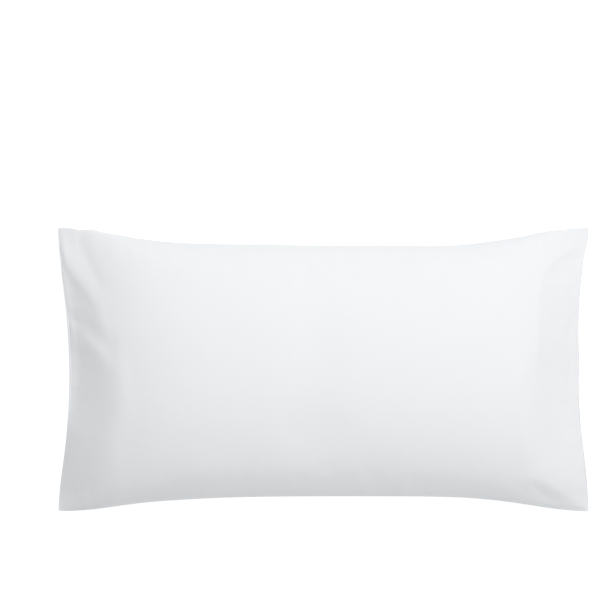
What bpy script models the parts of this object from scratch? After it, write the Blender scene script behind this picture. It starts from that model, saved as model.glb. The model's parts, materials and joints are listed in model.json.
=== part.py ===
"""A king-size pillowcase with the pillow in it, lying on its back.

The filled case is one solid. Its face looks up (+Z), its long side runs along X, and the face's top
edge is at +Y. The front and back cloths meet in a seam all round, a little below half the height. The
sides are drawn in between four thin corners, the face is crowned and creased, and the underside is
flat where it rests. The origin is on the floor, under the middle. All sizes are in metres.
"""

import math
from collections import namedtuple

import bmesh
import bpy

# The case laid flat and empty, and what the filling takes up between its corners
CUT_LENGTH = 0.914  # 36 inches
CUT_WIDTH = 0.508  # 20 inches
LENGTH_TAKEN_UP = 0.018
WIDTH_TAKEN_UP = 0.030
HALF_LENGTH = (CUT_LENGTH - LENGTH_TAKEN_UP) / 2
HALF_WIDTH = (CUT_WIDTH - WIDTH_TAKEN_UP) / 2

# Heights above the floor
LOFT = 0.172  # the top of the crown
SIDE_SEAM_HEIGHT = 0.072  # the seam at the middle of a long side
LEFT_SEAM_HEIGHT = 0.060  # the seam at the middle of each short end
RIGHT_SEAM_HEIGHT = 0.080
SEAM_THICKNESS = 0.003  # two cloths and their turnings

# How full the case is. A profile is (1 - place ** flatness) ** roundness, from 1 in the middle to 0.
FACE_RISE = LOFT - SIDE_SEAM_HEIGHT - SEAM_THICKNESS / 2
BACK_DROP = 0.125  # how far the back would hang below its seam if the floor were not there
PRESSED_FLAT = 0.0020  # cloth that would clear the floor by less than this lies on it
ACROSS_FLATNESS, ACROSS_ROUNDNESS = 2.1, 0.58
ALONG_FLATNESS, ALONG_ROUNDNESS = 5.0, 0.70
LEAST_THICKNESS = SEAM_THICKNESS

# How each side is drawn in between its corners. The start is the corner at -X or -Y.
Side = namedtuple("Side", "depth reach_from_start reach_from_end")
SIDES = {
    "top": Side(0.031, 0.143, 0.142),
    "bottom": Side(0.029, 0.175, 0.135),
    "left": Side(0.021, 0.115, 0.115),
    "right": Side(0.0252, 0.110, 0.080),
}
DRAW_SHARPNESS = 1.9

# Waves of the edge at a distance from the side's start: outward in plan, and how far the seam is lifted
EdgeWave = namedtuple("EdgeWave", "side from_start width outward lift")
EDGE_WAVES = (
    EdgeWave("top", 0.037, 0.006, -0.0024, 0.0),
    EdgeWave("top", 0.062, 0.012, 0.0016, 0.0),
    EdgeWave("right", 0.428, 0.020, -0.0034, 0.0),
    EdgeWave("right", 0.000, 0.050, -0.0030, 0.0),
    EdgeWave("left", 0.424, 0.016, -0.0010, 0.0),
    EdgeWave("left", 0.045, 0.085, 0.0028, -0.028),
    EdgeWave("left", 0.220, 0.080, 0.0007, 0.0),
    EdgeWave("bottom", 0.000, 0.060, 0.0016, 0.0),
    EdgeWave("bottom", 0.896, 0.060, -0.0015, 0.0),
    EdgeWave("bottom", 0.836, 0.042, 0.0, -0.006),
)
EDGE_WAVE_REACH = 0.030  # inwards

# The corners: the height of the seam there, and the ear, which is the thin cloth beside the corner
Corner = namedtuple("Corner", "s t height ear_reach ear_thinness")
CORNERS = (
    Corner(-1, -1, 0.030, 0.060, 0.10),
    Corner(-1, 1, 0.040, 0.080, 0.85),
    Corner(1, -1, 0.056, 0.070, 0.70),
    Corner(1, 1, 0.040, 0.060, 0.70),
)

# The taut facets of the ends: flat cloth from the seam up to a crease at the pillow's own end. The
# width grows downwards by the slant. The crease is its softness as a share of the width. The facet
# narrows to nothing within its reach of the top corner, and fades away past its low and high ends,
# which are heights in plan.
Facet = namedtuple("Facet", "end width slant crease reach low_end high_end fade")
FACETS = (
    Facet(1, 0.0815, -0.035, 0.07, 0.046, -0.015, 0.300, 0.150),
    Facet(1, 0.096, 0.0, 0.50, 0.010, -0.230, -0.015, 0.150),
    Facet(-1, 0.0705, -0.075, 0.32, 0.010, -0.300, 0.110, 0.100),
)

# Where the turnings inside an end's seam hold the cloth flat along it
Lip = namedtuple("Lip", "end width depth low_end high_end fade")
LIPS = (
    Lip(-1, 0.026, 0.50, -0.085, 0.300, 0.060),
    Lip(1, 0.008, 0.40, -0.300, -0.090, 0.080),
)

# Folds of the face, each from its start to its end in plan. A ridge has a rise above 0, a groove one
# below it. The widths are to either side of someone who walks from the start to the end. The bow is
# how far the middle lies to the walker's right.
Fold = namedtuple("Fold", "start_x start_y end_x end_y bow left_width right_width rise")
FOLDS = (
    Fold(-0.450, 0.232, -0.364, 0.104, 0.011, 0.018, 0.008, 0.0050),  # ridge out of the top left ear
    Fold(-0.412, 0.226, -0.361, 0.128, 0.003, 0.010, 0.010, -0.0016),  # groove on its inner side
    Fold(-0.440, 0.066, -0.372, 0.048, -0.003, 0.022, 0.012, 0.0036),  # small fold across the end
    Fold(0.446, -0.238, 0.340, -0.166, 0.003, 0.012, 0.044, 0.0065),  # ridge out of the lower right ear
)
FOLD_MARGIN = 0.010  # folds fade out over this distance from the seam

# Broad soft unevenness of the filling
Swell = namedtuple("Swell", "x y width_x width_y rise")
SWELLS = (
    Swell(-0.010, 0.030, 0.045, 0.110, -0.0030),
    Swell(-0.020, -0.100, 0.055, 0.055, -0.0050),
    Swell(-0.190, -0.165, 0.060, 0.028, 0.0015),
)

# The surface's grid. A crowding of 0 spaces its lines evenly, and 1 crowds them most at the seam.
COLUMNS, COLUMN_CROWDING = 60, 0.70
ROWS, ROW_CROWDING = 50, 0.45
FLAT_LIMIT = 1e-6  # a vertex this close to the floor lies on it

CLOTH_COLOUR = (0.86, 0.87, 0.89, 1.0)
CLOTH_ROUGHNESS = 0.85


def clear_scene():
    for obj in list(bpy.data.objects):
        bpy.data.objects.remove(obj)


def smooth_step(value):
    value = min(1.0, max(0.0, value))
    return value * value * (3 - 2 * value)


def hump(distance, width):
    return math.exp(-((distance / width) ** 2))


def profile(place, flatness, roundness):
    return max(0.0, 1 - abs(place) ** flatness) ** roundness


def drawn_in(side_name, from_start, from_end):
    """How far a side is drawn in at these distances from its two corners."""
    side = SIDES[side_name]
    start = 1 - math.exp(-((from_start / side.reach_from_start) ** DRAW_SHARPNESS))
    end = 1 - math.exp(-((from_end / side.reach_from_end) ** DRAW_SHARPNESS))
    return side.depth * start * end


def outward_wave(side_name, from_start, inward):
    waves = [wave for wave in EDGE_WAVES if wave.side == side_name]
    total = sum(wave.outward * hump(from_start - wave.from_start, wave.width) for wave in waves)
    return total * hump(inward, EDGE_WAVE_REACH)


def lift_wave(side_name, from_start, inward):
    waves = [wave for wave in EDGE_WAVES if wave.side == side_name]
    total = sum(wave.lift * hump(from_start - wave.from_start, wave.width) for wave in waves)
    return total * hump(inward, EDGE_WAVE_REACH)


def plan(s, t):
    """The place in plan of a point of the cloth, s along the length and t across, both -1 to 1."""
    from_left, from_right = HALF_LENGTH * (1 + s), HALF_LENGTH * (1 - s)
    from_bottom, from_top = HALF_WIDTH * (1 + t), HALF_WIDTH * (1 - t)
    x = HALF_LENGTH * s
    x += drawn_in("left", from_bottom, from_top) * (1 - s) / 2
    x -= drawn_in("right", from_bottom, from_top) * (1 + s) / 2
    x += outward_wave("right", from_bottom, from_right) - outward_wave("left", from_bottom, from_left)
    y = HALF_WIDTH * t
    y += drawn_in("bottom", from_left, from_right) * (1 - t) / 2
    y -= drawn_in("top", from_left, from_right) * (1 + t) / 2
    y += outward_wave("top", from_left, from_top) - outward_wave("bottom", from_left, from_bottom)
    return x, y


def corner_height(s, t):
    """The height of the corners' seams, blended over the case."""
    return sum(corner.height * (1 + s * corner.s) / 2 * (1 + t * corner.t) / 2 for corner in CORNERS)


def seam_height(s, t):
    """The height of the seam, which sinks from the middle of each side to the corners."""
    corner = corner_height(s, t)
    middle = LEFT_SEAM_HEIGHT if s < 0 else RIGHT_SEAM_HEIGHT
    side = SIDE_SEAM_HEIGHT + (corner - SIDE_SEAM_HEIGHT) * s**4
    end = middle + (corner - middle) * t**4
    nearness_to_end = s**6 * (1 - t**6)
    from_left, from_bottom = HALF_LENGTH * (1 + s), HALF_WIDTH * (1 + t)
    lift = lift_wave("bottom", from_left, from_bottom) + lift_wave("left", from_bottom, from_left)
    return side + (end - side) * nearness_to_end + lift


def end_curve(inward):
    """The crown's share at this distance in from a short end's seam."""
    return profile(1 - inward / HALF_LENGTH, ALONG_FLATNESS, ALONG_ROUNDNESS)


def share_between(row, height):
    """How much of a facet or lip there is at a height in plan."""
    above_low_end = smooth_step((height - row.low_end) / row.fade + 0.5)
    below_high_end = smooth_step((row.high_end - height) / row.fade + 0.5)
    return above_low_end * below_high_end


def facet_share(facet, inward, height):
    """What a facet adds to the end curve where it pulls the cloth straight."""
    narrowing = 1 - math.exp(-(((HALF_WIDTH - height) / facet.reach) ** 3))
    width = (facet.width + facet.slant * height) * narrowing + 1e-6
    straight = end_curve(width) * inward / width
    outside_crease = smooth_step((1 + facet.crease - inward / width) / (2 * facet.crease))
    return (straight - end_curve(inward)) * outside_crease * share_between(facet, height)


def end_profile(s, t):
    """The crown's share along the length."""
    inward, height = HALF_LENGTH * (1 - abs(s)), HALF_WIDTH * t
    share = end_curve(inward)
    share += sum(facet_share(facet, inward, height) for facet in FACETS if s * facet.end > 0)
    for lip in LIPS:
        if s * lip.end > 0:
            share *= 1 - lip.depth * hump(inward, lip.width) * share_between(lip, height)
    return share


def across_profile(s, t):
    """The crown's share across the width, and little of it beside the corners."""
    thin = 0.0
    for corner in CORNERS:
        from_corner = math.hypot(HALF_LENGTH * (1 - s * corner.s), HALF_WIDTH * (1 - t * corner.t))
        thin += corner.ear_thinness * hump(from_corner, corner.ear_reach)
    return profile(t, ACROSS_FLATNESS, ACROSS_ROUNDNESS) * (1 - thin)


def fold_rise(fold, x, y):
    """How much a fold lifts the face at a point in plan."""
    run_x, run_y = fold.end_x - fold.start_x, fold.end_y - fold.start_y
    length = math.hypot(run_x, run_y)
    along = ((x - fold.start_x) * run_x + (y - fold.start_y) * run_y) / length**2
    if not 0 < along < 1:
        return 0.0
    to_right = ((x - fold.start_x) * run_y - (y - fold.start_y) * run_x) / length
    to_right -= fold.bow * 4 * along * (1 - along)
    width = fold.right_width if to_right > 0 else fold.left_width
    return fold.rise * math.sin(math.pi * along) ** 0.8 * hump(to_right, width)


def swell_rise(swell, x, y):
    return swell.rise * hump(x - swell.x, swell.width_x) * hump(y - swell.y, swell.width_y)


def back_height(s, t):
    fullness = end_curve(HALF_LENGTH * (1 - abs(s))) * across_profile(s, t)
    height = seam_height(s, t) - SEAM_THICKNESS / 2 - BACK_DROP * fullness
    return height if height > PRESSED_FLAT else 0.0


def face_height(s, t):
    fullness = end_profile(s, t) * across_profile(s, t)
    height = seam_height(s, t) + SEAM_THICKNESS / 2 + FACE_RISE * fullness
    x, y = plan(s, t)
    unevenness = sum(fold_rise(fold, x, y) for fold in FOLDS) + sum(swell_rise(swell, x, y) for swell in SWELLS)
    from_seam = min(HALF_LENGTH * (1 - abs(s)), HALF_WIDTH * (1 - abs(t)))
    height += smooth_step(from_seam / FOLD_MARGIN) * unevenness
    return max(height, back_height(s, t) + LEAST_THICKNESS)


def grid_places(count, crowding):
    """Places from -1 to 1 for the grid's lines, closer together towards both ends."""
    even = [2 * k / count - 1 for k in range(count + 1)]
    return [place + crowding * (math.sin(place * math.pi / 2) - place) for place in even]


def add_cloth(mesh, height):
    """One side of the case: a grid whose height is given by a function.

    Each cell is two triangles, cut along the folds, which run out to the four corners.
    """
    columns = grid_places(COLUMNS, COLUMN_CROWDING)
    rows = grid_places(ROWS, ROW_CROWDING)
    grid = [[mesh.verts.new((*plan(s, t), height(s, t))) for s in columns] for t in rows]
    for row, (low, high) in enumerate(zip(grid, grid[1:])):
        for k in range(COLUMNS):
            rises_to_right = (k < COLUMNS / 2) == (row < ROWS / 2)
            if rises_to_right:
                mesh.faces.new((low[k], low[k + 1], high[k + 1]))
                mesh.faces.new((low[k], high[k + 1], high[k]))
            else:
                mesh.faces.new((low[k], low[k + 1], high[k]))
                mesh.faces.new((low[k + 1], high[k + 1], high[k]))
    return grid


def rim_of(grid):
    """The grid's outer vertices, once round."""
    right_end = [line[-1] for line in grid[1:]]
    left_end = [line[0] for line in grid[1:-1]]
    return grid[0] + right_end + grid[-1][-2::-1] + left_end[::-1]


def join_at_seam(mesh, face, back):
    upper, lower = rim_of(face), rim_of(back)
    for k in range(len(upper)):
        before = k - 1
        mesh.faces.new((upper[before], upper[k], lower[k], lower[before]))


def flatten_rest(mesh):
    """Makes one flat face of the underside where it lies on the floor."""
    resting = [face for face in mesh.faces if all(vertex.co.z < FLAT_LIMIT for vertex in face.verts)]
    bmesh.ops.dissolve_faces(mesh, faces=resting, use_verts=True)


def cloth_material():
    material = bpy.data.materials.new("white_cloth")
    material.use_nodes = True
    shader = material.node_tree.nodes["Principled BSDF"]
    shader.inputs["Base Color"].default_value = CLOTH_COLOUR
    shader.inputs["Roughness"].default_value = CLOTH_ROUGHNESS
    shader.inputs["Metallic"].default_value = 0.0
    return material


def build_pillowcase():
    mesh = bmesh.new()
    face = add_cloth(mesh, face_height)
    back = add_cloth(mesh, back_height)
    join_at_seam(mesh, face, back)
    flatten_rest(mesh)
    bmesh.ops.recalc_face_normals(mesh, faces=mesh.faces)

    data = bpy.data.meshes.new("pillowcase")
    mesh.to_mesh(data)
    mesh.free()
    data.shade_smooth()
    data.materials.append(cloth_material())
    pillowcase = bpy.data.objects.new("pillowcase", data)
    bpy.context.scene.collection.objects.link(pillowcase)


clear_scene()
build_pillowcase()
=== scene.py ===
import json
import math

import bpy
import numpy as np
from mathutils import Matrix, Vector

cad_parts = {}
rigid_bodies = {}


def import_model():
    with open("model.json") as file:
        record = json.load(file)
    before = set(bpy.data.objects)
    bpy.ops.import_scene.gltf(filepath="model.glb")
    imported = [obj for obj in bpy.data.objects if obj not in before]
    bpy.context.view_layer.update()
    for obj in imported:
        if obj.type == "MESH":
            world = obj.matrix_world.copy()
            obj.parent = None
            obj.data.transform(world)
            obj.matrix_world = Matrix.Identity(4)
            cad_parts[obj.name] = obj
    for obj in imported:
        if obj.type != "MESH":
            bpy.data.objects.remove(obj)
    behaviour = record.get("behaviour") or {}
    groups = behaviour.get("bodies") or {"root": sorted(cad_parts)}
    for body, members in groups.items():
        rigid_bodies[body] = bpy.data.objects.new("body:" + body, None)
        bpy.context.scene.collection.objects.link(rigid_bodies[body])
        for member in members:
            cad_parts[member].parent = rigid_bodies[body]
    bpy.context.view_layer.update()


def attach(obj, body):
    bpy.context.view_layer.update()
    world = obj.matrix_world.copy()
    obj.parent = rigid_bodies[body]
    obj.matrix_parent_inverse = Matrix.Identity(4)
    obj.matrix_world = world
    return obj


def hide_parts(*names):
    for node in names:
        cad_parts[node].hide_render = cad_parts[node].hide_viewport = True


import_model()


def deselectAll():
    for obj in bpy.context.view_layer.objects:
        obj.select_set(False)


def pick(obj):
    deselectAll()
    obj.select_set(True)
    bpy.context.view_layer.objects.active = obj


def smoothStep(value):
    value = np.clip(value, 0, 1)
    return value * value * (3 - 2 * value)


def hump(distance, width):
    return np.exp(-((distance / width) ** 2))


def readPoints(obj):
    flat = np.zeros(len(obj.data.vertices) * 3)
    obj.data.vertices.foreach_get("co", flat)
    return flat.reshape(-1, 3)


def writePoints(obj, points):
    obj.data.vertices.foreach_set("co", points.ravel())
    obj.data.update()


def readAttribute(obj, name):
    attribute = obj.data.attributes[name]
    values = np.zeros(len(attribute.data))
    attribute.data.foreach_get("value", values)
    return values


# the pillowcase, in metres: s runs from -1 at the left end to 1 at the right end,
# and t from -1 at the bottom side to 1 at the top side

case = {
    "cutLength": 0.914,  # the empty case laid flat
    "cutWidth": 0.508,
    "lengthTakenUp": 0.018,  # by the filling, between the corners
    "widthTakenUp": 0.030,
    "columns": 136,  # cells of the cloth before it is subdivided
    "rows": 76,
    "columnCrowding": 0.45,  # how much closer they stand beside the seam
    "rowCrowding": 0.30,

    # the crown and the back
    "loft": 0.172,
    "acrossFlatness": 2.1,
    "acrossRoundness": 0.58,
    "alongFlatness": 5.0,
    "alongRoundness": 0.70,
    "backDrop": 0.125,
    "floorSoftness": 0.004,  # how gently the back turns flat on the floor

    # the seam, and where it is drawn in
    "sideSeamHeight": 0.072,  # above the floor
    "leftSeamHeight": 0.060,
    "rightSeamHeight": 0.080,
    "seamTurn": 4,  # powers: the higher, the nearer to a corner the seam turns to its height
    "seamBlend": 6,  # and to the height of the end
    "seamThickness": 0.003,
    "rimOutward": (-0.0007, 0.0004, -0.0006, 0.0004, -0.0007),  # rings from the face to the back
    "rimHeight": (1.0, 0.72, 0.0, -0.72, -1.0),  # in half thicknesses of the seam
    "drawSharpness": 1.9,
    "drawnSides": {  # depth, then how far from each corner the side takes to get there
        "top": (0.031, 0.143, 0.142),
        "bottom": (0.029, 0.175, 0.135),
        "left": (0.021, 0.115, 0.115),
        "right": (0.0252, 0.110, 0.080),
    },
    "edgeWaves": (  # side, place from its left or bottom corner, width, outward, lift
        ("top", 0.037, 0.006, -0.0024, 0.0),
        ("top", 0.062, 0.012, 0.0016, 0.0),
        ("top", 0.300, 0.120, 0.0016, 0.0),
        ("top", 0.655, 0.060, -0.0020, 0.0),
        ("top", 0.815, 0.030, 0.0012, 0.0),
        ("right", 0.428, 0.020, -0.0020, 0.0),
        ("right", 0.425, 0.055, -0.0020, 0.0),
        ("right", 0.258, 0.030, 0.0011, 0.0),
        ("right", 0.022, 0.055, -0.0040, 0.0),
        ("left", 0.424, 0.016, -0.0010, 0.0),
        ("left", 0.000, 0.085, 0.0038, 0.0),
        ("left", 0.045, 0.085, 0.0, -0.028),
        ("left", 0.215, 0.085, -0.0018, 0.0),
        ("bottom", 0.000, 0.030, 0.0030, 0.0),
        ("bottom", 0.135, 0.070, -0.0026, 0.0),
        ("bottom", 0.896, 0.060, -0.0015, 0.0),
        ("bottom", 0.836, 0.042, 0.0, -0.006),
    ),
    "edgeWaveReach": 0.030,  # inwards
    "corners": (  # s, t, height, reach and thinness of the ear, the thin cloth beside the corner
        (-1, -1, 0.030, 0.060, 0.10),
        (-1, 1, 0.040, 0.080, 0.85),
        (1, -1, 0.056, 0.070, 0.70),
        (1, 1, 0.040, 0.060, 0.70),
    ),

    # the ends
    "facets": (  # where an end lies flat between its seam and a crease:
        # end, width, slant, softness of the crease, reach, low end, high end, fade
        (1, 0.0815, -0.035, 0.07, 0.046, 0.018, 0.300, 0.085),
        (1, 0.096, 0.0, 0.50, 0.010, -0.230, 0.018, 0.085),
        (-1, 0.0705, -0.075, 0.32, 0.010, 0.045, 0.110, 0.100),
        (-1, 0.084, -0.090, 0.50, 0.010, -0.085, 0.045, 0.100),
        (-1, 0.072, -0.040, 0.60, 0.010, -0.300, -0.085, 0.100),
    ),
    "facetTaper": 3,  # how sharply a facet narrows, within its reach of the top side
    "leastFacet": 1e-6,  # so that its width never falls to nothing
    "lips": (  # where the turnings inside an end's seam hold the cloth flat along it:
        # end, width, depth, low end, high end, fade
        (-1, 0.032, 0.36, -0.085, 0.300, 0.060),
        (1, 0.008, 0.40, -0.300, -0.090, 0.080),
    ),

    # folds, and the soft unevenness of the filling
    "folds": (  # start x and y, end x and y, bow, width on the left and on the right, rise
        (-0.462, 0.250, -0.358, 0.095, 0.012, 0.018, 0.010, 0.0056),  # ridge, top left ear
        (-0.416, 0.234, -0.357, 0.120, 0.003, 0.010, 0.010, -0.0017),  # groove on its inner side
        (-0.368, 0.170, -0.368, 0.060, 0.000, 0.070, 0.026, -0.0026),  # slack beside the crease
        (-0.438, 0.078, -0.352, 0.000, -0.008, 0.014, 0.024, 0.0056),  # small fold across the end
        (-0.400, 0.085, -0.340, 0.005, -0.010, 0.018, 0.014, -0.0035),  # hollow above it
        (-0.434, 0.088, -0.400, 0.078, 0.000, 0.006, 0.006, -0.0012),  # nip at its start
        (0.455, -0.244, 0.328, -0.158, 0.003, 0.016, 0.044, 0.0080),  # ridge, lower right ear
    ),
    "foldTaper": 1.3,  # how pointed the ends of a fold are
    "foldMargin": 0.010,  # folds fade out over this distance from the seam
    "swells": (  # x, y, width along x and y, rise
        (-0.010, 0.030, 0.045, 0.110, -0.0030),
        (-0.020, -0.100, 0.055, 0.055, -0.0050),
        (-0.190, -0.165, 0.060, 0.028, 0.0015),
        (-0.405, 0.135, 0.030, 0.035, -0.0025),
    ),
    "puckers": {  # small tucks of the cloth where the seam draws it in
        "faceSeed": 11,
        "backSeed": 12,
        "spacing": (0.013, 0.032),  # least and most, along the seam
        "width": (0.0055, 0.0090),
        "reach": (0.007, 0.020),  # inwards
        "rise": 0.00050,
        "share": (0.4, 1),  # least and most of that rise
        "fromCorner": 0.03,
        "offFloor": 0.001,  # the back has none below this height
    },
    "filling": {  # presses the cloth out
        "pressure": 1.0,
        "frames": 20,
        "cap": 0.002,  # how far the cloth may move
        "held": 0.030,  # the width beside the seam over which it moves less
        "surplus": 0.004,  # cloth more than the form needs, as a share
        "clothMass": 0.02,  # kg at each point of the mesh
        "stretch": 40.0,
        "shear": 40.0 / 3,
        "bending": 0.1,
        "steps": 6,  # in each frame
    },
}
halfLength = (case["cutLength"] - case["lengthTakenUp"]) / 2
halfWidth = (case["cutWidth"] - case["widthTakenUp"]) / 2
faceRise = case["loft"] - case["sideSeamHeight"] - case["seamThickness"] / 2
backLayer = len(case["rimHeight"]) - 1  # the face is layer 0, and the seam's edge lies between


def profile(place, flatness, roundness):
    return np.maximum(0, 1 - np.abs(place) ** flatness) ** roundness


def drawnIn(side, fromStart, fromEnd):
    depth, reachStart, reachEnd = case["drawnSides"][side]
    start = 1 - np.exp(-((fromStart / reachStart) ** case["drawSharpness"]))
    end = 1 - np.exp(-((fromEnd / reachEnd) ** case["drawSharpness"]))
    return depth * start * end


def waveOf(side, way, fromStart, inward):
    wave = 0
    for waveSide, place, width, outward, lift in case["edgeWaves"]:
        if waveSide == side:
            rise = {"outward": outward, "lift": lift}[way]
            wave = wave + rise * hump(fromStart - place, width)
    return wave * hump(inward, case["edgeWaveReach"])


def plan(s, t):
    fromLeft, fromRight = halfLength * (1 + s), halfLength * (1 - s)
    fromBottom, fromTop = halfWidth * (1 + t), halfWidth * (1 - t)
    x = halfLength * s + drawnIn("left", fromBottom, fromTop) * (1 - s) / 2
    x = x - drawnIn("right", fromBottom, fromTop) * (1 + s) / 2
    y = halfWidth * t + drawnIn("bottom", fromLeft, fromRight) * (1 - t) / 2
    y = y - drawnIn("top", fromLeft, fromRight) * (1 + t) / 2
    x = x + waveOf("right", "outward", fromBottom, fromRight)
    x = x - waveOf("left", "outward", fromBottom, fromLeft)
    y = y + waveOf("top", "outward", fromLeft, fromTop)
    y = y - waveOf("bottom", "outward", fromLeft, fromBottom)
    return x, y


def seamHeight(s, t):
    corner = 0
    for cornerS, cornerT, height, reach, thinness in case["corners"]:
        corner = corner + height * (1 + s * cornerS) / 2 * (1 + t * cornerT) / 2
    turn, blend = case["seamTurn"], case["seamBlend"]
    side = case["sideSeamHeight"] + (corner - case["sideSeamHeight"]) * s**turn
    middle = np.where(s < 0, case["leftSeamHeight"], case["rightSeamHeight"])
    end = middle + (corner - middle) * t**turn
    fromLeft, fromBottom = halfLength * (1 + s), halfWidth * (1 + t)
    lift = waveOf("bottom", "lift", fromLeft, fromBottom)
    lift = lift + waveOf("left", "lift", fromBottom, fromLeft)
    return side + (end - side) * s**blend * (1 - t**blend) + lift


def earAt(s, t):
    thin = 0
    for cornerS, cornerT, height, reach, thinness in case["corners"]:
        fromCorner = np.hypot(halfLength * (1 - s * cornerS), halfWidth * (1 - t * cornerT))
        thin = thin + thinness * hump(fromCorner, reach)
    return thin


def endCurve(inward):
    return profile(1 - inward / halfLength, case["alongFlatness"], case["alongRoundness"])


def shareBetween(height, lowEnd, highEnd, fade):
    above = smoothStep((height - lowEnd) / fade + 0.5)
    below = smoothStep((highEnd - height) / fade + 0.5)
    return above * below


def creasedEnds(s, t):
    inward, height = halfLength * (1 - np.abs(s)), halfWidth * t
    rounded = endCurve(inward)
    ends = rounded
    for end, fullWidth, slant, crease, reach, lowEnd, highEnd, fade in case["facets"]:
        narrowing = 1 - np.exp(-(((halfWidth - height) / reach) ** case["facetTaper"]))
        width = (fullWidth + slant * height) * narrowing + case["leastFacet"]
        straight = endCurve(width) * inward / width
        outside = smoothStep((1 + crease - inward / width) / (2 * crease))
        share = shareBetween(height, lowEnd, highEnd, fade)
        ends = ends + (straight - rounded) * outside * share * (s * end > 0)
    for end, width, depth, lowEnd, highEnd, fade in case["lips"]:
        held = depth * hump(inward, width) * shareBetween(height, lowEnd, highEnd, fade)
        ends = ends * (1 - held * (s * end > 0))
    return ends


def fromSeam(s, t):
    return np.minimum(halfLength * (1 - np.abs(s)), halfWidth * (1 - np.abs(t)))


def crown(s, t, ends):
    across = profile(t, case["acrossFlatness"], case["acrossRoundness"])
    return across * ends * (1 - earAt(s, t))


def softFloor(height, softness):
    turning = np.clip(height + softness, 0, None) ** 2 / (4 * softness)
    return np.where(height >= softness, height, turning)


def crowd(place, crowding):
    return place + crowding * (np.sin(place * math.pi / 2) - place)


def settleOrder(cloth):  # extrude leaves the faces in an order that changes from run to run
    points = [tuple(vertex.co) for vertex in cloth.data.vertices]
    faces = []
    for polygon in cloth.data.polygons:
        around = list(polygon.vertices)
        first = around.index(min(around))
        faces.append(around[first:] + around[:first])
    cloth.data.clear_geometry()
    cloth.data.from_pydata(points, [], sorted(faces))


def addFlatCase():
    deselectAll()
    bpy.ops.mesh.primitive_grid_add(
        x_subdivisions=case["columns"], y_subdivisions=case["rows"], size=2, location=(0, 0, 0)
    )
    cloth = bpy.context.object
    cloth.name = "caseCloth"
    cloth.data.name = "caseCloth"
    bpy.ops.object.mode_set(mode="EDIT")
    bpy.ops.mesh.select_all(action="SELECT")
    for ring in range(backLayer):  # each ring of the seam's edge is 1 lower than the last
        bpy.ops.mesh.extrude_region_move(TRANSFORM_OT_translate={"value": (0, 0, -1)})
    bpy.ops.mesh.select_all(action="SELECT")
    bpy.ops.mesh.normals_make_consistent(inside=False)
    bpy.ops.object.mode_set(mode="OBJECT")
    settleOrder(cloth)  # so that the filling presses the cloth out alike each time
    return cloth


def fillCase(cloth):
    points = readPoints(cloth)
    layer = np.rint(-points[:, 2]).astype(int)
    s = crowd(points[:, 0], case["columnCrowding"])
    t = crowd(points[:, 1], case["rowCrowding"])
    x, y = plan(s, t)
    onSeam = 0.99999  # s or t past this is on the seam
    outward = np.array(case["rimOutward"])[layer]
    x = x + np.sign(s) * outward * (np.abs(s) > onSeam)
    y = y + np.sign(t) * outward * (np.abs(t) > onSeam)
    seam = seamHeight(s, t)
    half = case["seamThickness"] / 2
    full = crown(s, t, endCurve(halfLength * (1 - np.abs(s))))
    back = softFloor(seam - half - case["backDrop"] * full, case["floorSoftness"])
    z = seam + half * np.array(case["rimHeight"])[layer]
    z = np.where(layer == 0, seam + half + faceRise * full, z)
    z = np.where(layer == backLayer, back, z)
    writePoints(cloth, np.stack([x, y, z], axis=1))
    for name, values in (("placeS", s), ("placeT", t), ("layer", layer)):
        attribute = cloth.data.attributes.new(name, "FLOAT", "POINT")
        attribute.data.foreach_set("value", values.astype(float))
    flatPlace = np.stack([s * case["cutLength"] / 2, t * case["cutWidth"] / 2], axis=1)
    uv = cloth.data.uv_layers.new(name="flatCloth")  # metres on the cut cloth
    corner = np.zeros(len(cloth.data.loops), int)
    cloth.data.loops.foreach_get("vertex_index", corner)
    uv.data.foreach_set("uv", flatPlace[corner].ravel())


def foldRise(fold, x, y):
    startX, startY, endX, endY, bow, leftWidth, rightWidth, rise = fold
    runX, runY = endX - startX, endY - startY
    length = math.hypot(runX, runY)
    fromX, fromY = x - startX, y - startY
    along = np.clip((fromX * runX + fromY * runY) / length**2, 0, 1)
    toRight = (fromX * runY - fromY * runX) / length - bow * 4 * along * (1 - along)
    width = np.where(toRight > 0, rightWidth, leftWidth)
    return rise * np.sin(math.pi * along) ** case["foldTaper"] * hump(toRight, width)


def swellRise(swell, x, y):
    swellX, swellY, widthX, widthY, rise = swell
    return rise * hump(x - swellX, widthX) * hump(y - swellY, widthY)


def puckerRise(s, t, seed):
    puckers = case["puckers"]
    chance = np.random.default_rng(seed)
    fromLeft, fromBottom = halfLength * (1 + s), halfWidth * (1 + t)
    fromRight, fromTop = halfLength * (1 - s), halfWidth * (1 - t)
    sides = (  # along it, and inwards from it
        (fromLeft, fromTop),
        (fromLeft, fromBottom),
        (fromBottom, fromLeft),
        (fromBottom, fromRight),
    )
    total = 0
    for along, inward in sides:
        place = puckers["fromCorner"]
        while place < along.max() - puckers["fromCorner"]:
            width, reach = chance.uniform(*puckers["width"]), chance.uniform(*puckers["reach"])
            rise = puckers["rise"] * chance.uniform(*puckers["share"]) * chance.choice((-1, 1))
            fade = inward / reach * np.exp(1 - inward / reach)
            total = total + rise * hump(along - place, width) * fade
            place += chance.uniform(*puckers["spacing"])
    return total


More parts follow.
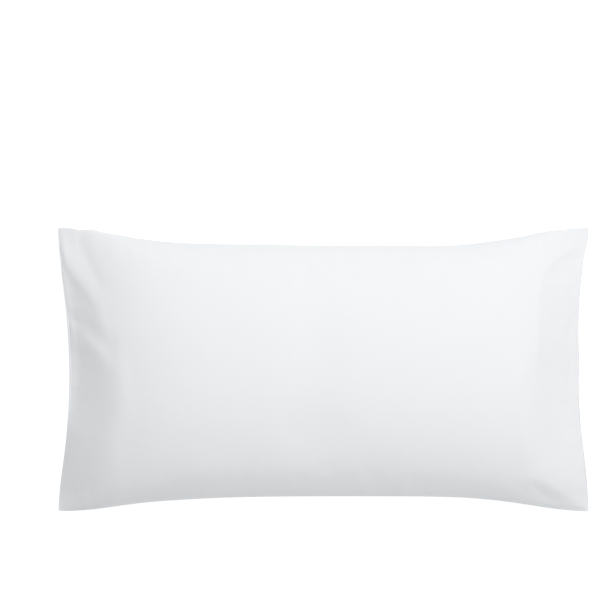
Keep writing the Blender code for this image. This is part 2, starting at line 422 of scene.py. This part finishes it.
def foldCase(cloth):
    puckers = case["puckers"]
    points = readPoints(cloth)
    s, t, layer = (readAttribute(cloth, name) for name in ("placeS", "placeT", "layer"))
    x, y = plan(s, t)
    face, back = layer < 0.5, layer > backLayer - 0.5
    rounded = endCurve(halfLength * (1 - np.abs(s)))
    creased = faceRise * (crown(s, t, creasedEnds(s, t)) - crown(s, t, rounded))
    folded = sum(foldRise(fold, x, y) for fold in case["folds"])
    folded = folded + sum(swellRise(swell, x, y) for swell in case["swells"])
    folded = folded * smoothStep(fromSeam(s, t) / case["foldMargin"])
    points[:, 2] += (creased + folded + puckerRise(s, t, puckers["faceSeed"])) * face
    lifted = points[:, 2] > puckers["offFloor"]
    points[:, 2] += puckerRise(s, t, puckers["backSeed"]) * back * lifted
    writePoints(cloth, points)


def pressOut(cloth):
    filling = case["filling"]
    before = readPoints(cloth)
    layer = readAttribute(cloth, "layer")
    rim = np.flatnonzero((layer > 0.5) & (layer < backLayer - 0.5))
    seam = cloth.vertex_groups.new(name="seam")
    seam.add([int(point) for point in rim], 1, "REPLACE")
    pick(cloth)
    simulation = cloth.modifiers.new("filling", "CLOTH")
    settings = simulation.settings
    settings.quality = filling["steps"]
    settings.mass = filling["clothMass"]
    settings.tension_stiffness = settings.compression_stiffness = filling["stretch"]
    settings.shear_stiffness = filling["shear"]
    settings.bending_stiffness = filling["bending"]
    settings.shrink_min = -filling["surplus"]
    settings.use_pressure = True
    settings.uniform_pressure_force = filling["pressure"]
    settings.vertex_group_mass = seam.name
    settings.effector_weights.gravity = 0
    simulation.collision_settings.use_collision = False
    simulation.point_cache.frame_start = 1
    simulation.point_cache.frame_end = filling["frames"]
    for frameNumber in range(1, filling["frames"] + 1):
        bpy.context.scene.frame_set(frameNumber)
    bpy.ops.object.modifier_apply(modifier=simulation.name)
    cloth.vertex_groups.remove(cloth.vertex_groups["seam"])
    inward = fromSeam(readAttribute(cloth, "placeS"), readAttribute(cloth, "placeT"))
    move = readPoints(cloth) - before
    softLimit = filling["cap"] / (filling["cap"] + np.linalg.norm(move, axis=1))
    move = move * (smoothStep(inward / filling["held"]) * softLimit)[:, None]
    points = before + move
    points[:, 2] = np.maximum(points[:, 2], 0)  # the floor
    writePoints(cloth, points)
    moved = 1000 * np.linalg.norm(move, axis=1)[layer < 0.5].mean()
    print("filling pressed out: the face moved %.1f mm on average" % moved)


def subdivideCloth(cloth):
    pick(cloth)
    smooth = cloth.modifiers.new("smooth", "SUBSURF")
    smooth.levels = smooth.render_levels = 1
    bpy.ops.object.modifier_apply(modifier=smooth.name)
    bpy.ops.object.shade_smooth()


cloth = addFlatCase()
fillCase(cloth)
print("case filled:", len(cloth.data.polygons), "cells")
pressOut(cloth)
subdivideCloth(cloth)
foldCase(cloth)
print("case folded:", len(cloth.data.polygons), "cells")


# the cloth's finish

finish = {
    "colour": (0.824, 0.834, 0.847),
    "roughness": (0.88, 0.92),
    "gloss": 0.1,
    "threadPitch": 0.00045,  # metres from one thread to the next
    "threadRelief": 0.00005,
    "slubLength": 0.030,  # a thread's thicker and thinner stretches
    "slubShade": 0.020,  # how much lighter or darker they are, as a share
    "patchSize": 0.090,  # broad unevenness of the white
    "patchShade": 0.006,
    "patchDetail": 1.0,  # octaves of the noise, here and below
    "slubDetail": 1.0,
    "crumpleSize": 0.034,  # faint soft creases
    "crumpleRelief": 0.0005,
    "crumpleDetail": 2.0,
}


def addNode(tree, kind, settings, **links):  # links are from its socket to what feeds it
    node = tree.nodes.new(kind)
    for name, value in settings.items():
        if name in node.inputs:
            node.inputs[name].default_value = value
        else:
            setattr(node, name, value)
    for name, source in links.items():
        tree.links.new(source, node.inputs[name])
    return node


def calculate(tree, operation, first, second):
    node = tree.nodes.new("ShaderNodeMath")
    node.operation = operation
    for socket, value in zip(node.inputs, (first, second)):
        if isinstance(value, (int, float)):
            socket.default_value = value
        else:
            tree.links.new(value, socket)
    return node.outputs["Value"]


def addNoise(tree, place, scale, detail):
    settings = {"Scale": scale, "Detail": detail}
    return addNode(tree, "ShaderNodeTexNoise", settings, Vector=place).outputs["Fac"]


def threadNoise(tree, alongX, alongY):
    scaled = addNode(tree, "ShaderNodeCombineXYZ", {}, X=alongX, Y=alongY)
    return addNoise(tree, scaled.outputs["Vector"], 1.0, finish["slubDetail"])


def weaveHeight(tree, x, y):  # each thread is round, and goes over and under by turns
    perMetre = math.pi / finish["threadPitch"]
    warp = calculate(tree, "SINE", calculate(tree, "MULTIPLY", x, perMetre), 0)
    weft = calculate(tree, "SINE", calculate(tree, "MULTIPLY", y, perMetre), 0)
    halfTurn = calculate(tree, "MULTIPLY", calculate(tree, "MULTIPLY", warp, weft), 0.5)
    warpOver = calculate(tree, "ADD", halfTurn, 0.5)
    weftOver = calculate(tree, "SUBTRACT", 0.5, halfTurn)
    warpThread = calculate(tree, "MULTIPLY", calculate(tree, "ABSOLUTE", warp, 0), warpOver)
    weftThread = calculate(tree, "MULTIPLY", calculate(tree, "ABSOLUTE", weft, 0), weftOver)
    return calculate(tree, "MAXIMUM", warpThread, weftThread)


def threadShade(tree, x, y):  # threads a little lighter or darker
    slub, pitch = finish["slubLength"], finish["threadPitch"]
    weftPlace = calculate(tree, "DIVIDE", x, slub), calculate(tree, "DIVIDE", y, pitch)
    warpPlace = calculate(tree, "DIVIDE", x, pitch), calculate(tree, "DIVIDE", y, slub)
    both = calculate(tree, "ADD", threadNoise(tree, *weftPlace), threadNoise(tree, *warpPlace))
    return calculate(tree, "MULTIPLY", calculate(tree, "SUBTRACT", both, 1), finish["slubShade"])


def clothMaterial():
    material = bpy.data.materials.new("whiteCloth")
    material.use_nodes = True
    tree = material.node_tree
    shader = tree.nodes["Principled BSDF"]
    shader.inputs["Specular IOR Level"].default_value = finish["gloss"]

    flat = addNode(tree, "ShaderNodeUVMap", {"uv_map": "flatCloth"})
    place = addNode(tree, "ShaderNodeSeparateXYZ", {}, Vector=flat.outputs["UV"])
    x, y = place.outputs["X"], place.outputs["Y"]
    inObject = addNode(tree, "ShaderNodeTexCoord", {}).outputs["Object"]

    patches = addNoise(tree, inObject, 1 / finish["patchSize"], finish["patchDetail"])
    offWhite = calculate(tree, "SUBTRACT", patches, 0.5)
    patchShade = calculate(tree, "MULTIPLY", offWhite, 2 * finish["patchShade"])
    bothShades = calculate(tree, "ADD", threadShade(tree, x, y), patchShade)
    shade = calculate(tree, "ADD", bothShades, 1)
    colour = addNode(tree, "ShaderNodeVectorMath", {"operation": "SCALE"}, Scale=shade)
    colour.inputs[0].default_value = finish["colour"]
    tree.links.new(colour.outputs["Vector"], shader.inputs["Base Color"])

    least, most = finish["roughness"]
    rough = addNode(tree, "ShaderNodeMapRange", {"To Min": least, "To Max": most}, Value=patches)
    tree.links.new(rough.outputs["Result"], shader.inputs["Roughness"])

    crumple = addNoise(tree, inObject, 1 / finish["crumpleSize"], finish["crumpleDetail"])
    soft = addNode(tree, "ShaderNodeBump", {"Distance": finish["crumpleRelief"]}, Height=crumple)
    woven = addNode(tree, "ShaderNodeBump", {"Distance": finish["threadRelief"]})
    tree.links.new(weaveHeight(tree, x, y), woven.inputs["Height"])
    tree.links.new(soft.outputs["Normal"], woven.inputs["Normal"])
    tree.links.new(woven.outputs["Normal"], shader.inputs["Normal"])
    return material


cloth.data.materials.clear()
cloth.data.materials.append(clothMaterial())
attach(cloth, "root")
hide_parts("pillowcase")
print("cloth finished:", cloth.data.materials[0].name)


# floor, light and camera

studio = {
    "skyColour": (0.97, 0.985, 1.0),
    "skyStrength": 0.423,
    "lampSize": 1.4,
    "keyPlace": (0.0, 1.8, 2.4),  # past the top edge
    "keyPower": 27.3,
    "overheadPlace": (0.0, 0.0, 3.2),
    "overheadPower": 21.5,
    "rightPlace": (1.8, 0.0, 2.4),
    "rightPower": 17.7,
    "floorSize": 60,
    "floorDrop": 0.0005,  # below the pillowcase
    "floorColour": (0.90, 0.90, 0.90),
    "floorRoughness": 0.9,
    "floorGlow": 0.36,
}


def addFloor():
    deselectAll()
    place = (0, 0, -studio["floorDrop"])
    bpy.ops.mesh.primitive_plane_add(size=studio["floorSize"], location=place)
    floor = bpy.context.object
    floor.name = "floor"
    material = bpy.data.materials.new("floor")
    material.use_nodes = True
    shader = material.node_tree.nodes["Principled BSDF"]
    shader.inputs["Base Color"].default_value = (*studio["floorColour"], 1)
    shader.inputs["Roughness"].default_value = studio["floorRoughness"]
    shader.inputs["Emission Color"].default_value = (1, 1, 1, 1)
    shader.inputs["Emission Strength"].default_value = studio["floorGlow"]
    floor.data.materials.append(material)


def addLamp(name):
    light = bpy.data.lights.new(name, "AREA")
    light.shape = "DISK"
    light.size = studio["lampSize"]
    light.energy = studio[name + "Power"]
    lamp = bpy.data.objects.new(name, light)
    lamp.location = studio[name + "Place"]
    toPillow = Vector((0, 0, case["loft"] / 2)) - lamp.location
    lamp.rotation_euler = toPillow.to_track_quat("-Z", "Y").to_euler()
    lamp.visible_camera = False
    bpy.context.scene.collection.objects.link(lamp)


def addWorld():
    world = bpy.data.worlds.new("studio")
    world.use_nodes = True
    background = world.node_tree.nodes["Background"]
    background.inputs["Color"].default_value = (*studio["skyColour"], 1)
    background.inputs["Strength"].default_value = studio["skyStrength"]
    bpy.context.scene.world = world


view = {
    "lens": 100.0,  # mm
    "sensor": 36.0,  # mm
    "farthest": 50,  # metres that the camera sees
    "frameWidth": 1.0122,  # metres of the corners' level across the picture
    "level": 0.040,
    "centreColumn": 323.75,  # pixel of the picture where the pillow's middle lies
    "centreRow": 369.5,
    "pixels": 600,
}


def addCamera():
    camera = bpy.data.cameras.new("camera")
    camera.lens = view["lens"]
    camera.sensor_width = view["sensor"]
    camera.clip_end = view["farthest"]
    perPixel = view["frameWidth"] / view["pixels"]
    holder = bpy.data.objects.new("camera", camera)
    holder.location = (
        (view["pixels"] / 2 - view["centreColumn"]) * perPixel,
        (view["centreRow"] - view["pixels"] / 2) * perPixel,
        view["level"] + view["frameWidth"] * view["lens"] / view["sensor"],
    )
    bpy.context.scene.collection.objects.link(holder)
    bpy.context.scene.camera = holder


addFloor()
for lampName in ("key", "overhead", "right"):
    addLamp(lampName)
addWorld()
addCamera()
bpy.context.scene.view_settings.view_transform = "Standard"
print("floor, light and camera placed")
